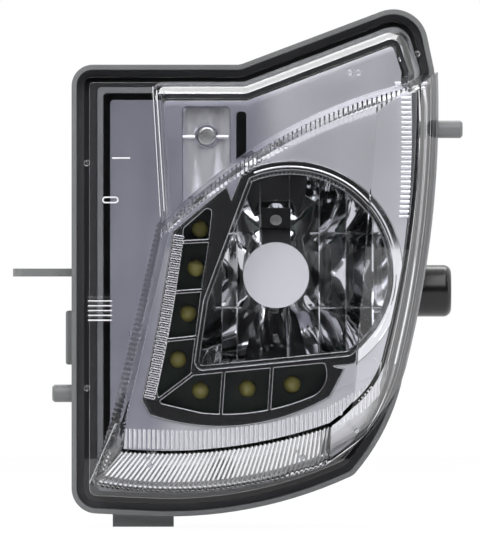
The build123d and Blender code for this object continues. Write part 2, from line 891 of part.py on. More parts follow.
def aim_screw():
    place = (axis_x, aim_z)
    head_y = aim_boss_back + aim_slack
    screw = rod_y(place, aim_radius, aim_tip, head_y)
    head = rod_y(place, aim_head, head_y, head_y + aim_head_high)
    tooth = aim_head * pi / (3 * aim_teeth)
    for i in range(aim_teeth):
        cut = Pos(*place) * Rot(0, 0, 360 / aim_teeth * i) * Pos(aim_head, 0) * Circle(tooth)
        head -= slab(cut, head_y + aim_head_high / 3, head_y + aim_head_high)
    return screw + head


def aim_clip():
    place = (axis_x, aim_z)
    end = bowl_floor - aim_slack
    clip = rod_y(place, clip_radius, end - clip_thick, end)
    return clip - rod_y(place, aim_radius + seat_gap, end - clip_thick, end)


# Bulb


def bulb_base():
    bulb = (axis_x, axis_z)
    groove = neck_back - bulb_plug_long / 2
    flange_back = neck_back + bulb_flange_thick
    body_back = flange_back + bulb_body_long
    plug = neck_bore - seat_gap * 3
    base = rod_y(bulb, plug, neck_back - bulb_plug_long, neck_back)
    base -= turned(bulb, [(plug - ring_groove, groove - ring_groove), (2 * plug, groove - ring_groove),
                          (2 * plug, groove + ring_groove), (plug - ring_groove, groove + ring_groove)])
    base += rod_y(bulb, bulb_flange, neck_back, flange_back)
    base += rod_y(bulb, bulb_body, flange_back, body_back)
    shell = block((axis_x - shell_wide / 2, axis_x + shell_wide / 2), (flange_back, body_back + shell_long),
                  (axis_z - shell_high / 2, axis_z + shell_high / 2))
    base += fillet(shell.edges().filter_by(Axis.Y), 2 * shell_wall)
    wide, high = shell_wide / 2 - shell_wall, shell_high / 2 - shell_wall
    inside = block((axis_x - wide, axis_x + wide), (body_back, body_back + 2 * shell_long),
                   (axis_z - high, axis_z + high))
    base -= fillet(inside.edges().filter_by(Axis.Y), shell_wall)
    base -= rod_y(bulb, capsule_radius + seat_gap, 0, neck_back - bulb_plug_long + capsule_seat)
    for x in blade_centres(axis_x):
        base -= blade(x, axis_z, body_back, seat_gap)
    return base


def blade_centres(middle):
    return [middle - blade_space / 2, middle + blade_space / 2]


def blade(x, z, face, gap=0.0):
    half, thick = blade_wide / 2 + gap, blade_thick / 2 + gap
    return block((x - thick, x + thick), (face - blade_long / 2, face + blade_long), (z - half, z + half))


def bulb_terminals():
    face = neck_back + bulb_flange_thick + bulb_body_long
    return [blade(x, axis_z, face) for x in blade_centres(axis_x)]


def bulb_ring():
    plug = neck_bore - seat_gap * 3
    groove = neck_back - bulb_plug_long / 2
    tube = ring_groove - seat_gap
    middle = plug - ring_groove + seat_gap + tube
    circle = Pos(middle, groove) * Circle(tube)
    band = revolve(circle, Axis.Y)
    return Pos(axis_x, 0, axis_z) * band & rod_y((axis_x, axis_z), neck_bore - seat_gap, 0, reach)


def bulb_capsule():
    bulb = (axis_x, axis_z)
    seat = neck_back - bulb_plug_long + capsule_seat
    glass = rod_y(bulb, capsule_radius, capsule_tip, seat)
    tip = glass.edges().filter_by(GeomType.CIRCLE).sort_by(Axis.Y)[0]
    return fillet(tip, capsule_radius * capsule_dome)


def bulb_shield():
    bulb = (axis_x, axis_z)
    skirt_back = shield_front + shield_skirt
    cup = rod_y(bulb, shield_radius, shield_front, skirt_back)
    cup -= rod_y(bulb, shield_radius - shield_wall, shield_front + shield_wall, skirt_back)
    # The leg runs back from the skirt to a foot on the reflector's pad
    run = Polyline(
        (skirt_back - shield_wall, axis_z + shield_radius - shield_wall / 2),
        (pad_front - shield_wall / 2, axis_z + leg_foot),
        (pad_front - shield_wall / 2, axis_z + leg_top),
    )
    strip = make_face(offset(run, shield_wall / 2, kind=Kind.INTERSECTION).edges())
    side = Plane(origin=(axis_x, 0, 0), x_dir=(0, 1, 0), z_dir=(1, 0, 0))
    leg = extrude(side * strip, amount=leg_width / 2, both=True)
    leg -= rod_y(bulb, shield_radius - shield_wall, shield_front + shield_wall, skirt_back)
    hole = (axis_x, axis_z + rivet_rise)
    return cup + leg - rod_y(hole, rivet_shank + seat_gap, 0, pad_front)


def shield_rivet():
    place = (axis_x, axis_z + rivet_rise)
    seat = pad_front - shield_wall
    head = rod_y(place, rivet_head, seat - rivet_head / 2, seat)
    edge = head.edges().filter_by(GeomType.CIRCLE).sort_by(Axis.Y)[0]
    return fillet(edge, rivet_head / 3) + rod_y(place, rivet_shank, seat, pad_front + rivet_deep)


def rear_boot():
    outer = hole_back + collar_wall
    lip = bulb_body + boot_lip_gap
    end = bowl_back + collar_long
    points = [
        (outer + seat_gap, end - boot_cover),
        (outer + boot_wall, end - boot_cover),
        (outer + boot_wall, end + boot_wall),
        (outer - boot_wall, end + 2 * boot_wall),
        (lip + 2 * boot_lip, end + boot_wall),
        (lip + boot_lip, end + 2 * boot_wall),
        (lip, end + 2 * boot_wall),
        (lip, end - boot_wall),
        (lip + boot_lip, end - boot_wall),
        (lip + 2 * boot_lip, end),
        (outer - 2 * boot_wall, end + seat_gap),
        (outer + seat_gap, end + seat_gap),
    ]
    return turned((axis_x, axis_z), points)


def lamp_socket():
    wide, high = socket_wide / 2, socket_high / 2
    shell = block((socket_x - wide, socket_x + wide), (bowl_back, bowl_back + socket_long),
                  (socket_z - high, socket_z + high))
    shell = fillet(shell.edges().filter_by(Axis.Y), socket_wall)
    edge = socket_flange
    shell += block((socket_x - wide - edge, socket_x + wide + edge), (bowl_back, bowl_back + socket_wall),
                   (socket_z - high - edge, socket_z + high + edge))
    wide, high = wide - socket_wall, high - socket_wall
    shell -= block((socket_x - wide, socket_x + wide), (bowl_back + socket_floor, reach),
                   (socket_z - high, socket_z + high))
    for x in blade_centres(socket_x):
        shell -= blade(x, socket_z, bowl_back + socket_floor, seat_gap)
    return shell


def socket_blades():
    return [blade(x, socket_z, bowl_back + socket_floor) for x in blade_centres(socket_x)]


pieces = [
    housing, ear_sleeve, driver_cover, driver_board, vent_cap, lens, lens_seal, bezel, trim_frame,
    lamp_tray, led_board, led_domes, board_screws, bezel_screws, reflector, pivot_sockets, pivot_studs,
    aim_nut, aim_screw, aim_clip, bulb_base, bulb_terminals, bulb_ring, bulb_capsule, bulb_shield,
    shield_rivet, rear_boot, lamp_socket, socket_blades,
]

os.makedirs("parts", exist_ok=True)
for make in pieces:
    made = make()
    shape = Compound(children=made) if isinstance(made, list) else made
    export_step(shape, f"parts/{make.__name__}.step")
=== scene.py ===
import bpy
import bmesh
import json
import math
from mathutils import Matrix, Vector


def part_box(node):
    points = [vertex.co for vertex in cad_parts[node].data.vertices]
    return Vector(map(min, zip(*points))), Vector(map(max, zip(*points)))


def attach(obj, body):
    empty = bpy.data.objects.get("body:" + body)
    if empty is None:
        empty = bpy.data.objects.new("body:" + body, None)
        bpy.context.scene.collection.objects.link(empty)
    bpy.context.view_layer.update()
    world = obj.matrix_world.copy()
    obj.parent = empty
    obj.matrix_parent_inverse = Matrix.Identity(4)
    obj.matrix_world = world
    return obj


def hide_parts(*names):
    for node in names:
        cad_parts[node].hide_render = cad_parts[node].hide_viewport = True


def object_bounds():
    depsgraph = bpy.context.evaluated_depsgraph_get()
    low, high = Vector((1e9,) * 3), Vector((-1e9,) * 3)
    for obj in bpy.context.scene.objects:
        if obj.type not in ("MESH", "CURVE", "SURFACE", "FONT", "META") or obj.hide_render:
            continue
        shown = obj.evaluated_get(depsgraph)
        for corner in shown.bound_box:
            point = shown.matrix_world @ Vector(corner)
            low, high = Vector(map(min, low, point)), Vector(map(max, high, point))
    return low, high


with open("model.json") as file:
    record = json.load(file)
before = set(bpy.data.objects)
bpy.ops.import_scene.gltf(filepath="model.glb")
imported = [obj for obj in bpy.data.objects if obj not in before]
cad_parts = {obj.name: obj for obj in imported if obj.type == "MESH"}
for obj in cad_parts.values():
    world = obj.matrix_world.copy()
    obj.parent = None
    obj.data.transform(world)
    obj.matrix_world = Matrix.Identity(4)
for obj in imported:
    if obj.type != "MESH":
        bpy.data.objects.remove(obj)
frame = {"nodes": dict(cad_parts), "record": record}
cadLow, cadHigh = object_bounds()
nodes = frame["nodes"]
bodyOf = {node: body for body, members in frame["record"]["behaviour"]["bodies"].items() for node in members}
slotOf = {part["node"]: part["material_slot"] for part in frame["record"]["subparts"]}
scene = bpy.context.scene
scene.view_settings.view_transform = "Standard"
mm = 0.001
print("frame loaded,", len(nodes), "nodes")


class Wire:
    # a socket that can be used in sums
    def __init__(self, tree, socket):
        self.tree = tree
        self.socket = socket

    def also(self, out):
        # another output of the same node
        return Wire(self.tree, self.socket.node.outputs[out])

    def sum(self, operation, first, second):
        return Recipe(self.tree).add("ShaderNodeMath", {"operation": operation}, {0: first, 1: second})

    def __add__(self, other):
        return self.sum("ADD", self, other)

    def __sub__(self, other):
        return self.sum("SUBTRACT", self, other)

    def __rsub__(self, other):
        return self.sum("SUBTRACT", other, self)

    def __mul__(self, other):
        return self.sum("MULTIPLY", self, other)

    def __truediv__(self, other):
        return self.sum("DIVIDE", self, other)

    __radd__ = __add__
    __rmul__ = __mul__


class Recipe:
    # adds nodes to one tree
    def __init__(self, tree):
        self.tree = tree

    def add(self, kind, settings=None, sockets=None, out=0):
        node = self.tree.nodes.new(kind)
        for key, value in (settings or {}).items():
            setattr(node, key, value)
        for key, value in (sockets or {}).items():
            if isinstance(value, Wire):
                self.tree.links.new(value.socket, node.inputs[key])
            else:
                node.inputs[key].default_value = value
        return Wire(self.tree, node.outputs[out]) if len(node.outputs) else None


def startMaterial(name):
    material = bpy.data.materials.new(name)
    material.use_nodes = True
    material.node_tree.nodes.clear()
    return material, Recipe(material.node_tree)


def endMaterial(recipe, shader):
    recipe.add("ShaderNodeOutputMaterial", None, {"Surface": shader})


def objectPlace(recipe):
    return recipe.add("ShaderNodeTexCoord", None, None, "Object")


def along(recipe, place, axis):
    return recipe.add("ShaderNodeSeparateXYZ", None, {0: place}, axis)


def fade(recipe, value, span):
    # smooth step from 0 to 1 over a span
    return recipe.add("ShaderNodeMapRange", {"interpolation_type": "SMOOTHSTEP"},
                      {"Value": value, "From Min": span[0], "From Max": span[1]})


def noise(recipe, scale, detail=2.0, stretch=None):
    place = objectPlace(recipe)
    if stretch:
        place = recipe.add("ShaderNodeMapping", None, {"Vector": place, "Scale": stretch})
    return recipe.add("ShaderNodeTexNoise", None, {"Vector": place, "Scale": scale, "Detail": detail}, "Fac")


def mixColour(recipe, factor, first, second):
    return recipe.add("ShaderNodeMix", {"data_type": "RGBA"}, {0: factor, 6: first, 7: second}, 2)


def twoTone(recipe, factor, first, second):
    return mixColour(recipe, factor, (*first, 1), (*second, 1))


def roundedEdges(recipe, radius):
    return recipe.add("ShaderNodeBevel", {"samples": 4}, {"Radius": radius})


moulding = {
    "grainDeep": 0.1 * mm,
    "grainScale": 1800.0,
    "quickShare": 0.6,
    "cloudDetail": 3.0,
    "coatRough": 0.08,
    "smearScale": 38.0,
}


def grainBump(strength, height):
    return {"Strength": strength, "Distance": moulding["grainDeep"], "Height": height}


def surface(name, colour, second, rough, spread, metal=0.0, grain=0.0, spotScale=60.0, coat=0.0, edge=0.0):
    # one finish: two tones by slow noise, roughness by quick noise, grain as bump, edges rounded to the eye
    material, recipe = startMaterial(name)
    slow = noise(recipe, spotScale, moulding["cloudDetail"])
    quick = noise(recipe, moulding["grainScale"])
    sockets = {
        "Base Color": twoTone(recipe, slow, colour, second),
        "Roughness": rough + (slow - 0.5) * spread + (quick - 0.5) * (spread * moulding["quickShare"]),
        "Metallic": metal,
        "Coat Weight": coat,
        "Coat Roughness": moulding["coatRough"],
    }
    if edge:
        sockets["Normal"] = roundedEdges(recipe, edge)
    if grain:
        bump = grainBump(grain, quick)
        if edge:
            bump["Normal"] = sockets["Normal"]
        sockets["Normal"] = recipe.add("ShaderNodeBump", None, bump)
    endMaterial(recipe, recipe.add("ShaderNodeBsdfPrincipled", None, sockets))
    return material


def clearMaterial(name, colour, rough, ior, edge=0.0):
    # clear moulding: glass to the eye, open to the lamps' light
    material, recipe = startMaterial(name)
    smear = noise(recipe, moulding["smearScale"], moulding["cloudDetail"])
    sockets = {
        "Base Color": (*colour, 1),
        "Roughness": rough + smear * rough,
        "IOR": ior,
        "Transmission Weight": 1.0,
    }
    if edge:
        sockets["Normal"] = roundedEdges(recipe, edge)
    glass = recipe.add("ShaderNodeBsdfPrincipled", None, sockets)
    letThrough = recipe.add("ShaderNodeBsdfTransparent", None, {"Color": (*colour, 1)})
    shadow = recipe.add("ShaderNodeLightPath", None, None, "Is Shadow Ray")
    endMaterial(recipe, recipe.add("ShaderNodeMixShader", None, {0: shadow, 1: glass, 2: letThrough}))
    return material


shield = {
    "faceY": -13.7 * mm,
    "face": (0.76, 0.76, 0.785),
    "inside": (0.03, 0.03, 0.034),
    "rough": 0.5,
    "roughSpread": 0.15,
    "insideGloss": 0.15,
    "grain": 0.12,
    "grainScale": 1500.0,
}


def shieldFinish():
    # pale paint on the front face, dark bare metal on the skirt, inside and leg
    material, recipe = startMaterial("shieldPaint")
    depth = along(recipe, objectPlace(recipe), "Y")
    behind = recipe.add("ShaderNodeMath", {"operation": "GREATER_THAN"}, {0: depth, 1: shield["faceY"]})
    grain = noise(recipe, shield["grainScale"])
    rough = shield["rough"] + (grain - 0.5) * shield["roughSpread"] - behind * shield["insideGloss"]
    endMaterial(recipe, recipe.add("ShaderNodeBsdfPrincipled", None, {
        "Base Color": twoTone(recipe, behind, shield["face"], shield["inside"]),
        "Roughness": rough,
        "Normal": recipe.add("ShaderNodeBump", None, grainBump(shield["grain"], grain))}))
    return material


bezelTone = {
    "bright": (0.66, 0.66, 0.69),
    "brightCloud": (0.74, 0.74, 0.765),
    # painted shade: darker tones on the left panels, standing in for the dark room reflected there
    "paintedShade": (0.36, 0.36, 0.42),
    "paintedShadeCloud": (0.44, 0.44, 0.5),
    "paintedShadeEdge": (40.0 * mm, 54.0 * mm),
    "upperShift": 38.0 * mm,
    "upperFrom": (6.0 * mm, 22.0 * mm),
    "rough": 0.3,
    "cloudScale": 55.0,
    "cloudRough": 0.08,
    "brushScale": 900.0,
    "brushStretch": (1.0, 1.0, 0.12),
    "brushRough": 0.06,
    "metal": 0.8,
    "edge": 0.5 * mm,
}


def bezelFinish():
    # satin metal layer; the panels at the left are painted darker, a painted shade standing in for the dark
    # surroundings they reflect
    material, recipe = startMaterial("satinSilver")
    tone = bezelTone
    across, up = [along(recipe, objectPlace(recipe), axis) for axis in "XZ"]
    # mask of the painted shade: dark on the left panels, its edge moved further right towards the top
    upper = fade(recipe, up, tone["upperFrom"])
    paintedShadeFade = fade(recipe, across - upper * tone["upperShift"], tone["paintedShadeEdge"])
    cloud = noise(recipe, tone["cloudScale"], moulding["cloudDetail"])
    brush = noise(recipe, tone["brushScale"], stretch=tone["brushStretch"])
    # low is the painted shade tone, high the satin silver's own tone
    low = twoTone(recipe, cloud, tone["paintedShade"], tone["paintedShadeCloud"])
    high = twoTone(recipe, cloud, tone["bright"], tone["brightCloud"])
    endMaterial(recipe, recipe.add("ShaderNodeBsdfPrincipled", None, {
        "Base Color": mixColour(recipe, paintedShadeFade, low, high),
        "Roughness": tone["rough"] + (cloud - 0.5) * tone["cloudRough"] + (brush - 0.5) * tone["brushRough"],
        "Metallic": tone["metal"],
        "Normal": roundedEdges(recipe, tone["edge"])}))
    return material


# each finish: name, two tones, roughness and its spread
finishes = {
    "grey_plastic": surface("greyMoulding", (0.14, 0.144, 0.147), (0.175, 0.18, 0.181), 0.4, 0.12,
                            grain=0.2, edge=0.6 * mm),
    "black_plastic": surface("blackMoulding", (0.012, 0.012, 0.013), (0.02, 0.02, 0.021), 0.4, 0.15,
                             grain=0.2),
    "white_plastic": surface("whiteMoulding", (0.7, 0.7, 0.67), (0.76, 0.76, 0.73), 0.38, 0.1, grain=0.15),
    "nylon": surface("nylon", (0.72, 0.7, 0.62), (0.8, 0.78, 0.7), 0.45, 0.1, grain=0.15),
    "satin_silver": bezelFinish(),
    "chrome": surface("chromePlate", (0.88, 0.885, 0.9), (0.92, 0.925, 0.94), 0.035, 0.02,
                      metal=1.0, edge=0.4 * mm),
    "shield_grey": shieldFinish(),
    "board_green": surface("solderMask", (0.012, 0.03, 0.02), (0.02, 0.045, 0.03), 0.3, 0.1),
    "dome_yellow": surface("lampDome", (0.8, 0.71, 0.14), (0.94, 0.86, 0.36), 0.25, 0.1,
                           coat=1.0, spotScale=300.0),
    "rubber": surface("blackRubber", (0.004, 0.004, 0.0045), (0.007, 0.007, 0.0075), 0.24, 0.08, grain=0.1),
    "sealant": surface("sealant", (0.042, 0.042, 0.046), (0.06, 0.06, 0.064), 0.55, 0.1, grain=0.3),
    "steel": surface("zincSteel", (0.5, 0.5, 0.5), (0.62, 0.62, 0.6), 0.3, 0.15, metal=1.0, spotScale=400.0),
    "brass": surface("tinnedBlade", (0.66, 0.62, 0.52), (0.74, 0.7, 0.6), 0.28, 0.1, metal=1.0),
    "clear_plastic": clearMaterial("clearLens", (0.955, 0.955, 0.98), 0.006, 1.5, edge=0.35 * mm),
    "frost": surface("frostedMark", (0.8, 0.8, 0.82), (0.88, 0.88, 0.9), 0.45, 0.1),
    "pocket": surface("pocketLayer", (0.95, 0.95, 0.965), (0.98, 0.98, 0.985), 0.17, 0.05, metal=0.7),
    "polish": surface("polishedLayer", (0.9, 0.9, 0.92), (0.94, 0.94, 0.955), 0.1, 0.04, metal=1.0),
    "bulb_glass": clearMaterial("bulbGlass", (0.97, 0.97, 0.97), 0.004, 1.46),
}
print("finishes made,", len(finishes))


shells = {
    "sharpAngle": 28.0,
    "trimSharpAngle": 40.0,
    "weld": 0.002 * mm,
}


def smoothShell(nodeName):
    # welded copy of a node, smooth across its curved faces and sharp at its edges
    mesh = nodes[nodeName].data.copy()
    mesh.name = nodeName + "_shell"
    work = bmesh.new()
    work.from_mesh(mesh)
    bmesh.ops.remove_doubles(work, verts=work.verts, dist=shells["weld"])
    work.to_mesh(mesh)
    work.free()
    if "custom_normal" in mesh.attributes:
        mesh.attributes.remove(mesh.attributes["custom_normal"])
    mesh.shade_smooth()
    mesh.set_sharp_from_angle(angle=math.radians(shells["sharpAngle"]))
    mesh.materials.clear()
    mesh.materials.append(finishes[slotOf[nodeName]])
    piece = bpy.data.objects.new(nodeName + "_shell", mesh)
    scene.collection.objects.link(piece)
    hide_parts(nodeName)
    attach(piece, bodyOf[nodeName])
    return piece


pieces = {name: smoothShell(name) for name in nodes}
print("shells made,", len(pieces))


def join(recipe, parts):
    node = recipe.tree.nodes.new("GeometryNodeJoinGeometry")
    for part in parts:
        recipe.tree.links.new(part.socket, node.inputs[0])
    return Wire(recipe.tree, node.outputs[0])


def grow(name, piece, build, finish, body):
    # one Geometry Nodes tree, made a plain mesh; the piece's numbers are the tree's inputs
    sizes = {key: value for key, value in piece.items() if isinstance(value, (int, float))}
    tree = bpy.data.node_groups.new(name, "GeometryNodeTree")
    tree.interface.new_socket("Geometry", in_out="OUTPUT", socket_type="NodeSocketGeometry")
    for key, value in sizes.items():
        kind = "NodeSocketInt" if isinstance(value, int) else "NodeSocketFloat"
        tree.interface.new_socket(key, in_out="INPUT", socket_type=kind)
    entry = tree.nodes.new("NodeGroupInput")
    recipe = Recipe(tree)
    shape = build(recipe, {key: Wire(tree, entry.outputs[key]) for key in sizes})
    shape = recipe.add("GeometryNodeRealizeInstances", None, {0: shape})
    shape = recipe.add("GeometryNodeSetMaterial", None, {"Geometry": shape, "Material": finishes[finish]})
    tree.links.new(shape.socket, tree.nodes.new("NodeGroupOutput").inputs[0])
    grown = bpy.data.objects.new(name, bpy.data.meshes.new(name + "_seed"))
    scene.collection.objects.link(grown)
    maker = grown.modifiers.new("grow", "NODES")
    maker.node_group = tree
    for item in tree.interface.items_tree:
        if item.in_out == "INPUT":
            maker[item.identifier] = sizes[item.name]
    mesh = bpy.data.meshes.new_from_object(grown.evaluated_get(bpy.context.evaluated_depsgraph_get()))
    grown.modifiers.remove(maker)
    grown.data = mesh
    mesh.name = name
    mesh.shade_smooth()
    mesh.set_sharp_from_angle(angle=math.radians(shells["trimSharpAngle"]))
    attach(grown, body)
    print("grown", name, len(mesh.polygons))


def wave(recipe, operation, value):
    return recipe.add("ShaderNodeMath", {"operation": operation}, {0: value})


def vector(recipe, x, y, z):
    return recipe.add("ShaderNodeCombineXYZ", None, {0: x, 1: y, 2: z})


def move(recipe, shape, turn, place):
    return recipe.add("GeometryNodeTransform", None,
                      {"Geometry": shape, "Rotation": turn, "Translation": place})


def rod(recipe, radius, length, turn, sides=8):
    shape = recipe.add("GeometryNodeMeshCylinder", None,
                       {"Vertices": sides, "Radius": radius, "Depth": length})
    return recipe.add("GeometryNodeTransform", None, {"Geometry": shape, "Rotation": turn})


def bead(recipe, curve, thick, sides=8):
    loop = recipe.add("GeometryNodeCurvePrimitiveCircle", None, {"Resolution": sides, "Radius": thick})
    return recipe.add("GeometryNodeCurveToMesh", None,
                      {"Curve": curve, "Profile Curve": loop, "Fill Caps": True})


def line(recipe, start, end):
    return recipe.add("GeometryNodeCurvePrimitiveLine", None, {"Start": start, "End": end})


def setOn(recipe, points, shape, **more):
    return recipe.add("GeometryNodeInstanceOnPoints", None, {"Points": points, "Instance": shape, **more})


def onto(recipe, curve, target, reach):
    # drops a curve's points along Y onto a shell's front, and leaves out those that miss it
    shell = recipe.add("GeometryNodeObjectInfo", None, {"Object": target}, "Geometry")
    hit = recipe.add("GeometryNodeRaycast", None, {
        "Target Geometry": shell, "Source Position": recipe.add("GeometryNodeInputPosition"),
        "Ray Direction": (0.0, 1.0, 0.0), "Ray Length": reach}, "Is Hit")
    kept = recipe.add("GeometryNodeDeleteGeometry", {"domain": "POINT"},
                      {"Geometry": curve, "Selection": 1 - hit})
    return recipe.add("GeometryNodeSetPosition", None,
                      {"Geometry": kept, "Position": hit.also("Hit Position")})


alongX = (0.0, math.radians(90.0), 0.0)
alongY = (math.radians(90.0), 0.0, 0.0)
upright = (0.0, 0.0, 0.0)
ahead = cadLow.y - 1.0 * mm  # just before the lens, where curves start their drop


def inFront(x, z):
    return (x * mm, ahead, z * mm)


ringTeeth = {
    "count": 29,
    "radius": 37.1 * mm,
    "start": math.radians(57.0),
    "step": math.radians(2.35),
    "tooth": 0.5 * mm,
    "depth": 5.0 * mm,
    "middle": (93.75 * mm, 0.2 * mm),
    "front": -27.0 * mm,
}


def combTeeth(recipe, size):
    # short teeth along the top of the window ring's inner wall
    turn = size["start"] + recipe.add("GeometryNodeInputIndex") * size["step"]
    x, z = ringTeeth["middle"]
    place = vector(recipe, wave(recipe, "COSINE", turn) * size["radius"] + x, size["front"],
                   wave(recipe, "SINE", turn) * size["radius"] + z)
    points = recipe.add("GeometryNodePoints", None, {"Count": size["count"], "Position": place})
    tooth = rod(recipe, size["tooth"], size["depth"], alongY, 6)
    return setOn(recipe, points, tooth, Rotation=vector(recipe, 0.0, 0 - turn, 0.0))


lensMarks = {
    "lines": 5,
    "lineLeft": 18.0 * mm,
    "lineLong": 9.0 * mm,
    "lineTop": -10.7 * mm,
    "linePitch": 1.8 * mm,
    "thick": 0.28 * mm,
    "front": -20.6 * mm,
    "dash": (30.4 * mm, 42.9 * mm, 6.8 * mm),  # x, z, length
    "pill": (26.4 * mm, 27.2 * mm, 5.6 * mm, 2.0 * mm),  # x, z, length, height
    "pillRound": 0.48,
}


def frostedMarks(recipe, size):
    # moulded lines and one outlined slot shape on the lens's flange
    fall = size["lineTop"] - recipe.add("GeometryNodeInputIndex") * size["linePitch"]
    place = vector(recipe, size["lineLeft"] + size["lineLong"] * 0.5, size["front"], fall)
    points = recipe.add("GeometryNodePoints", None, {"Count": size["lines"], "Position": place})
    lines = setOn(recipe, points, rod(recipe, size["thick"], size["lineLong"], alongX))
    x, z, long = lensMarks["dash"]
    dash = rod(recipe, size["thick"], long, alongX)
    dash = move(recipe, dash, upright, vector(recipe, x, size["front"], z))
    x, z, long, high = lensMarks["pill"]
    edge = recipe.add("GeometryNodeCurvePrimitiveQuadrilateral", None, {"Width": long, "Height": high})
    edge = recipe.add("GeometryNodeFilletCurve", {"mode": "POLY"},
                      {"Curve": edge, "Count": 6, "Radius": size["pillRound"] * high})
    pill = move(recipe, bead(recipe, edge, size["thick"], 6), alongY, vector(recipe, x, size["front"], z))
    return join(recipe, [lines, dash, pill])


pocketLiner = {
    "wide": 17.6 * mm,
    "high": 36.0 * mm,
    "columns": 72,
    "rows": 24,
    "middle": (62.4 * mm, 43.6 * mm),
    "floor": -14.12 * mm,
    "wave": 0.9 * mm,
    "period": 8.4 * mm,
    "lean": 0.05,
    "thick": 0.1 * mm,
    "weld": 0.001 * mm,
}


def polishedWaves(recipe, size):
    # polished floor of the screw pocket, in upright waves, closed at the back
    grid = recipe.add("GeometryNodeMeshGrid", None, {
        "Size X": size["wide"], "Size Y": size["high"], "Vertices X": size["columns"],
        "Vertices Y": size["rows"]})
    place = recipe.add("GeometryNodeInputPosition")
    across, up = [along(recipe, place, axis) for axis in "XY"]
    swing = wave(recipe, "SINE", (across + up * size["lean"]) / size["period"] * math.tau)
    rise = size["wave"] * (swing * 0.5 + 0.5)
    x, z = pocketLiner["middle"]
    back = recipe.add("GeometryNodeSetPosition", None, {"Geometry": grid, "Position": vector(
        recipe, across + x, size["thick"] - rise + size["floor"], up + z)})
    front = recipe.add("GeometryNodeExtrudeMesh", {"mode": "FACES"}, {
        "Mesh": back, "Offset": (0, -1, 0), "Offset Scale": size["thick"], "Individual": False})
    back = recipe.add("GeometryNodeFlipFaces", None, {"Mesh": back})
    return recipe.add("GeometryNodeMergeByDistance", None, {
        "Geometry": join(recipe, [front, back]), "Distance": size["weld"]})


bossRibs = {
    "count": 2,
    "spread": 12.6 * mm,
    "long": 4.6 * mm,
    "thick": 0.8 * mm,
    "first": 55.8 * mm,
    "level": 50.9 * mm,
    "front": -15.2 * mm,
}


def sideRibs(recipe, size):
    # two ribs from the screw boss to the pocket's walls
    place = vector(recipe, recipe.add("GeometryNodeInputIndex") * size["spread"] + size["first"],
                   size["front"], size["level"])
    points = recipe.add("GeometryNodePoints", None, {"Count": size["count"], "Position": place})
    return setOn(recipe, points, rod(recipe, size["thick"], size["long"], alongX, 12))


ringBeads = {
    "outer": 41.6 * mm,
    "inner": 39.4 * mm,
    "thick": 0.32 * mm,
    "from": math.radians(-38.0),
    "sweep": math.radians(148.0),
    "points": 220,
    "reach": 40.0 * mm,
}


def windowBeads(recipe, size):
    # two fine beads round the window ring
    x, z = ringTeeth["middle"]
    rings = []
    for name in ("outer", "inner"):
        arc = recipe.add("GeometryNodeCurveArc", {"mode": "RADIUS"}, {
            "Resolution": size["points"], "Radius": size[name], "Start Angle": size["from"],
            "Sweep Angle": size["sweep"]})
        arc = move(recipe, arc, alongY, (x, ahead, z))
        rings.append(bead(recipe, onto(recipe, arc, pieces["trim_frame"], size["reach"]), size["thick"]))
    return join(recipe, rings)


mirrorLedges = {
    "left": 66.0 * mm,
    "right": 127.0 * mm,
    "middle": 88.55 * mm,
    "gap": 26.0 * mm,
    "upper": 14.8 * mm,
    "lower": -13.3 * mm,
    "thick": 0.42 * mm,
    "points": 90,
    "setBack": 20.0 * mm,
    "reach": 90.0 * mm,
}


def ledges(recipe, size):
    # level seams between the rows of facets, left and right of the bulb shield
    rows = []
    front = size["setBack"] + cadLow.y
    for level in ("upper", "lower"):
        for end, away in (("left", -0.5), ("right", 0.5)):
            seam = line(recipe, vector(recipe, size["middle"] + size["gap"] * away, front, size[level]),
                        vector(recipe, size[end], front, size[level]))
            seam = recipe.add("GeometryNodeResampleCurve", None, {"Curve": seam, "Count": size["points"]})
            rows.append(bead(recipe, onto(recipe, seam, pieces["reflector"], size["reach"]), size["thick"]))
    return join(recipe, rows)


# paths, places and lines below are x and z in mm, as seen from the front
sideFlutes = {
    "count": 28,
    "thick": 0.62 * mm,
    "long": 5.4 * mm,
    "weld": 0.05 * mm,
    "reach": 60.0 * mm,
    "path": [(135.8, 71.0), (136.0, 46.0), (135.6, 30.0), (135.0, 21.0)],
}

lowerFlutes = {
    "count": 62,
    "thick": 0.66 * mm,
    "long": 7.2 * mm,
    "weld": 0.05 * mm,
    "reach": 60.0 * mm,
    "path": [(30.6, -62.0), (60.0, -62.8), (86.3, -59.9), (106.9, -54.5), (121.0, -46.5), (130.0, -37.0)],
}


def fluteRow(piece, turn):
    # row of flutes along a path on the bezel's front
    def build(recipe, size):
        path = piece["path"]
        parts = [line(recipe, inFront(*start), inFront(*end)) for start, end in zip(path, path[1:])]
        mesh = recipe.add("GeometryNodeCurveToMesh", None, {"Curve": join(recipe, parts)})
        mesh = recipe.add("GeometryNodeMergeByDistance", None, {"Geometry": mesh, "Distance": size["weld"]})
        whole = recipe.add("GeometryNodeMeshToCurve", None, {0: mesh})
        points = recipe.add("GeometryNodeCurveToPoints", None, {"Curve": whole, "Count": size["count"]})
        return setOn(recipe, onto(recipe, points, pieces["bezel"], size["reach"]),
                     rod(recipe, size["thick"], size["long"], turn, 10))
    return build


gateBumps = {
    "radius": 1.2 * mm,
    "flat": 0.45,
    "reach": 60.0 * mm,
    "places": [(41.6, -71.8), (98.3, -68.8), (118.5, -59.1), (17.6, 41.1), (17.6, -43.3), (141.4, 82.0),
               (116.2, 74.8), (119.4, 74.8)],
}


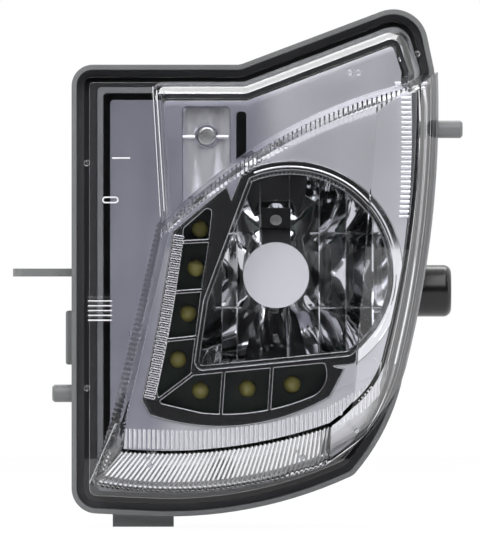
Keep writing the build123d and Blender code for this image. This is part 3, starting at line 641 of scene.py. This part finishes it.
def gates(recipe, size):
    # small round bumps where the lens was filled in its mould
    spots = [recipe.add("GeometryNodePoints", None, {"Count": 1, "Position": inFront(*place)})
             for place in gateBumps["places"]]
    points = onto(recipe, join(recipe, spots), pieces["lens"], size["reach"])
    ball = recipe.add("GeometryNodeMeshUVSphere", None,
                      {"Segments": 20, "Rings": 12, "Radius": size["radius"]})
    return setOn(recipe, points, ball, Scale=vector(recipe, 1.0, size["flat"], 1.0))


# painted highlights: thin white lines laid on the lens's fold edges
foldHighlights = {
    "thick": 0.17 * mm,
    "points": 80,
    "reach": 60.0 * mm,
    "lines": [((42.3, 69.8), (45.2, 21.0)), ((43.8, 68.2), (46.7, 23.0)), ((28.4, -56.6), (18.6, -79.0))],
}


def paintedFoldHighlights(recipe, size):
    # white frosted beads along the lens's fold and its lower left corner: painted highlights standing in for
    # the light those edges catch
    edges = []
    for start, end in foldHighlights["lines"]:
        edge = line(recipe, inFront(*start), inFront(*end))
        edge = recipe.add("GeometryNodeResampleCurve", None, {"Curve": edge, "Count": size["points"]})
        edges.append(bead(recipe, onto(recipe, edge, pieces["lens"], size["reach"]), size["thick"]))
    return join(recipe, edges)


screwThread = {
    "turns": 11.0,
    "radius": 2.4 * mm,
    "length": 13.2 * mm,
    "wire": 0.28 * mm,
    "steps": 20,
}

filament = {
    "turns": 9.0,
    "radius": 0.8 * mm,
    "length": 4.6 * mm,
    "wire": 0.14 * mm,
    "steps": 20,
}


def coil(middle):
    # wire wound along Y round a middle point
    def build(recipe, size):
        wound = recipe.add("GeometryNodeCurveSpiral", None, {
            "Resolution": size["steps"], "Rotations": size["turns"], "Start Radius": size["radius"],
            "End Radius": size["radius"], "Height": size["length"]})
        x, y, z = middle
        start = vector(recipe, x, y + size["length"] * 0.5, z)
        return move(recipe, bead(recipe, wound, size["wire"], 6), alongY, start)
    return build


def boxMiddle(nodeName):
    low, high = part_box(nodeName)
    return (low + high) / 2


threadFromTip = 7.6 * mm  # from the screw's front end to the middle of its thread
threadMiddle = boxMiddle("aim_screw")
threadMiddle.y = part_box("aim_screw")[0].y + threadFromTip

grow("window_ring_teeth", ringTeeth, combTeeth, "chrome", "lamp")
grow("lens_flange_marks", lensMarks, frostedMarks, "frost", "lamp")
grow("pocket_liner", pocketLiner, polishedWaves, "pocket", "lamp")
grow("boss_ribs", bossRibs, sideRibs, "polish", "lamp")
grow("window_ring_beads", ringBeads, windowBeads, "chrome", "lamp")
grow("mirror_ledges", mirrorLedges, ledges, "chrome", "reflector_unit")
grow("bezel_side_flutes", sideFlutes, fluteRow(sideFlutes, alongX), "polish", "lamp")
grow("bezel_lower_flutes", lowerFlutes, fluteRow(lowerFlutes, upright), "pocket", "lamp")
grow("lens_gate_bumps", gateBumps, gates, "clear_plastic", "lamp")
# white frosted beads on the lens's fold edges, painted highlights
grow("lens_fold_edges", foldHighlights, paintedFoldHighlights, "frost", "lamp")
grow("aim_screw_thread", screwThread, coil(threadMiddle), "steel", "aim_screw")
grow("bulb_filament", filament, coil(boxMiddle("bulb_capsule")), "steel", "reflector_unit")

studio = {
    "middle": (75.0 * mm, -20.0 * mm, 0.2 * mm),
    "frameHeight": 204.0 * mm,
    "distance": 4.0,
    "sensor": 36.0,
    "farEnd": 20.0,
    "softboxes": [
        # place, size, radiance
        ((0.1, -0.35, 0.8), (0.9, 0.45), 3.0),
        ((0.075, 0.55, 0.8), (0.9, 0.3), 5.0),
        ((-0.85, -0.3, 0.15), (0.3, 0.9), 2.4),
        ((0.95, -0.15, 0.2), (0.3, 0.9), 1.2),
        ((0.05, -1.2, 0.95), (1.8, 0.8), 2.8),
    ],
    "roomDark": 0.025,
    "behindFrom": (-0.5, 0.35),
    "aboveFrom": (0.1, 0.9),
    "aboveGlow": 0.25,
    "floorSize": 3.0,
    "floorGap": 0.3 * mm,
    "floorTone": 0.86,
    "floorWhite": 0.97,
}
white = (1, 1, 1, 1)


def makeCamera():
    lens = bpy.data.cameras.new("camera")
    lens.sensor_width = studio["sensor"]
    lens.lens = studio["sensor"] * studio["distance"] / studio["frameHeight"]
    lens.clip_end = studio["farEnd"]
    camera = bpy.data.objects.new("camera", lens)
    x, y, z = studio["middle"]
    camera.location = (x, y - studio["distance"], z)
    camera.rotation_euler = alongY
    scene.collection.objects.link(camera)
    scene.camera = camera


def makeLights():
    for i, (place, size, radiance) in enumerate(studio["softboxes"]):
        light = bpy.data.lights.new(f"softbox{i}", "AREA")
        light.shape = "RECTANGLE"
        light.size, light.size_y = size
        light.energy = radiance * math.pi * size[0] * size[1]
        lamp = bpy.data.objects.new(f"softbox{i}", light)
        lamp.location = place
        aim = Vector(studio["middle"]) - Vector(place)
        lamp.rotation_euler = aim.to_track_quat("-Z", "Y").to_euler()
        scene.collection.objects.link(lamp)


def makeWorld():
    # white behind the lamp, a darker room behind the camera
    world = bpy.data.worlds.new("studio")
    scene.world = world
    world.use_nodes = True
    world.node_tree.nodes.clear()
    recipe = Recipe(world.node_tree)
    way = recipe.add("ShaderNodeTexCoord", None, None, "Generated")
    behind = fade(recipe, along(recipe, way, "Y"), studio["behindFrom"])
    above = fade(recipe, along(recipe, way, "Z"), studio["aboveFrom"])
    level = studio["roomDark"] + behind * (1 - studio["roomDark"]) + above * studio["aboveGlow"]
    seen = recipe.add("ShaderNodeLightPath", None, None, "Is Camera Ray")
    back = recipe.add("ShaderNodeBackground", None, {"Color": white, "Strength": seen + (1 - seen) * level})
    recipe.add("ShaderNodeOutputWorld", None, {"Surface": back})


def makeFloor():
    # pale floor that keeps a soft shadow
    half = studio["floorSize"] / 2
    level = cadLow.z - studio["floorGap"]
    corners = [(-half, -half, level), (half, -half, level), (half, half, level), (-half, half, level)]
    mesh = bpy.data.meshes.new("floor")
    mesh.from_pydata(corners, [], [(0, 1, 2, 3)])
    floor = bpy.data.objects.new("floor", mesh)
    scene.collection.objects.link(floor)
    material, recipe = startMaterial("paleFloor")
    tone = studio["floorTone"]
    matte = recipe.add("ShaderNodeBsdfDiffuse", None, {"Color": (tone, tone, tone, 1)})
    glow = recipe.add("ShaderNodeEmission", None, {"Color": white, "Strength": 1.0})
    eye, gloss, through = [recipe.add("ShaderNodeLightPath", None, None, f"Is {ray} Ray")
                           for ray in ("Camera", "Glossy", "Transmission")]
    share = recipe.add("ShaderNodeMath", {"operation": "MINIMUM"}, {0: eye + gloss + through, 1: 1.0})
    share = share * studio["floorWhite"]
    endMaterial(recipe, recipe.add("ShaderNodeMixShader", None, {0: share, 1: matte, 2: glow}))
    mesh.materials.append(material)


makeCamera()
makeLights()
makeWorld()
makeFloor()
print("studio made")
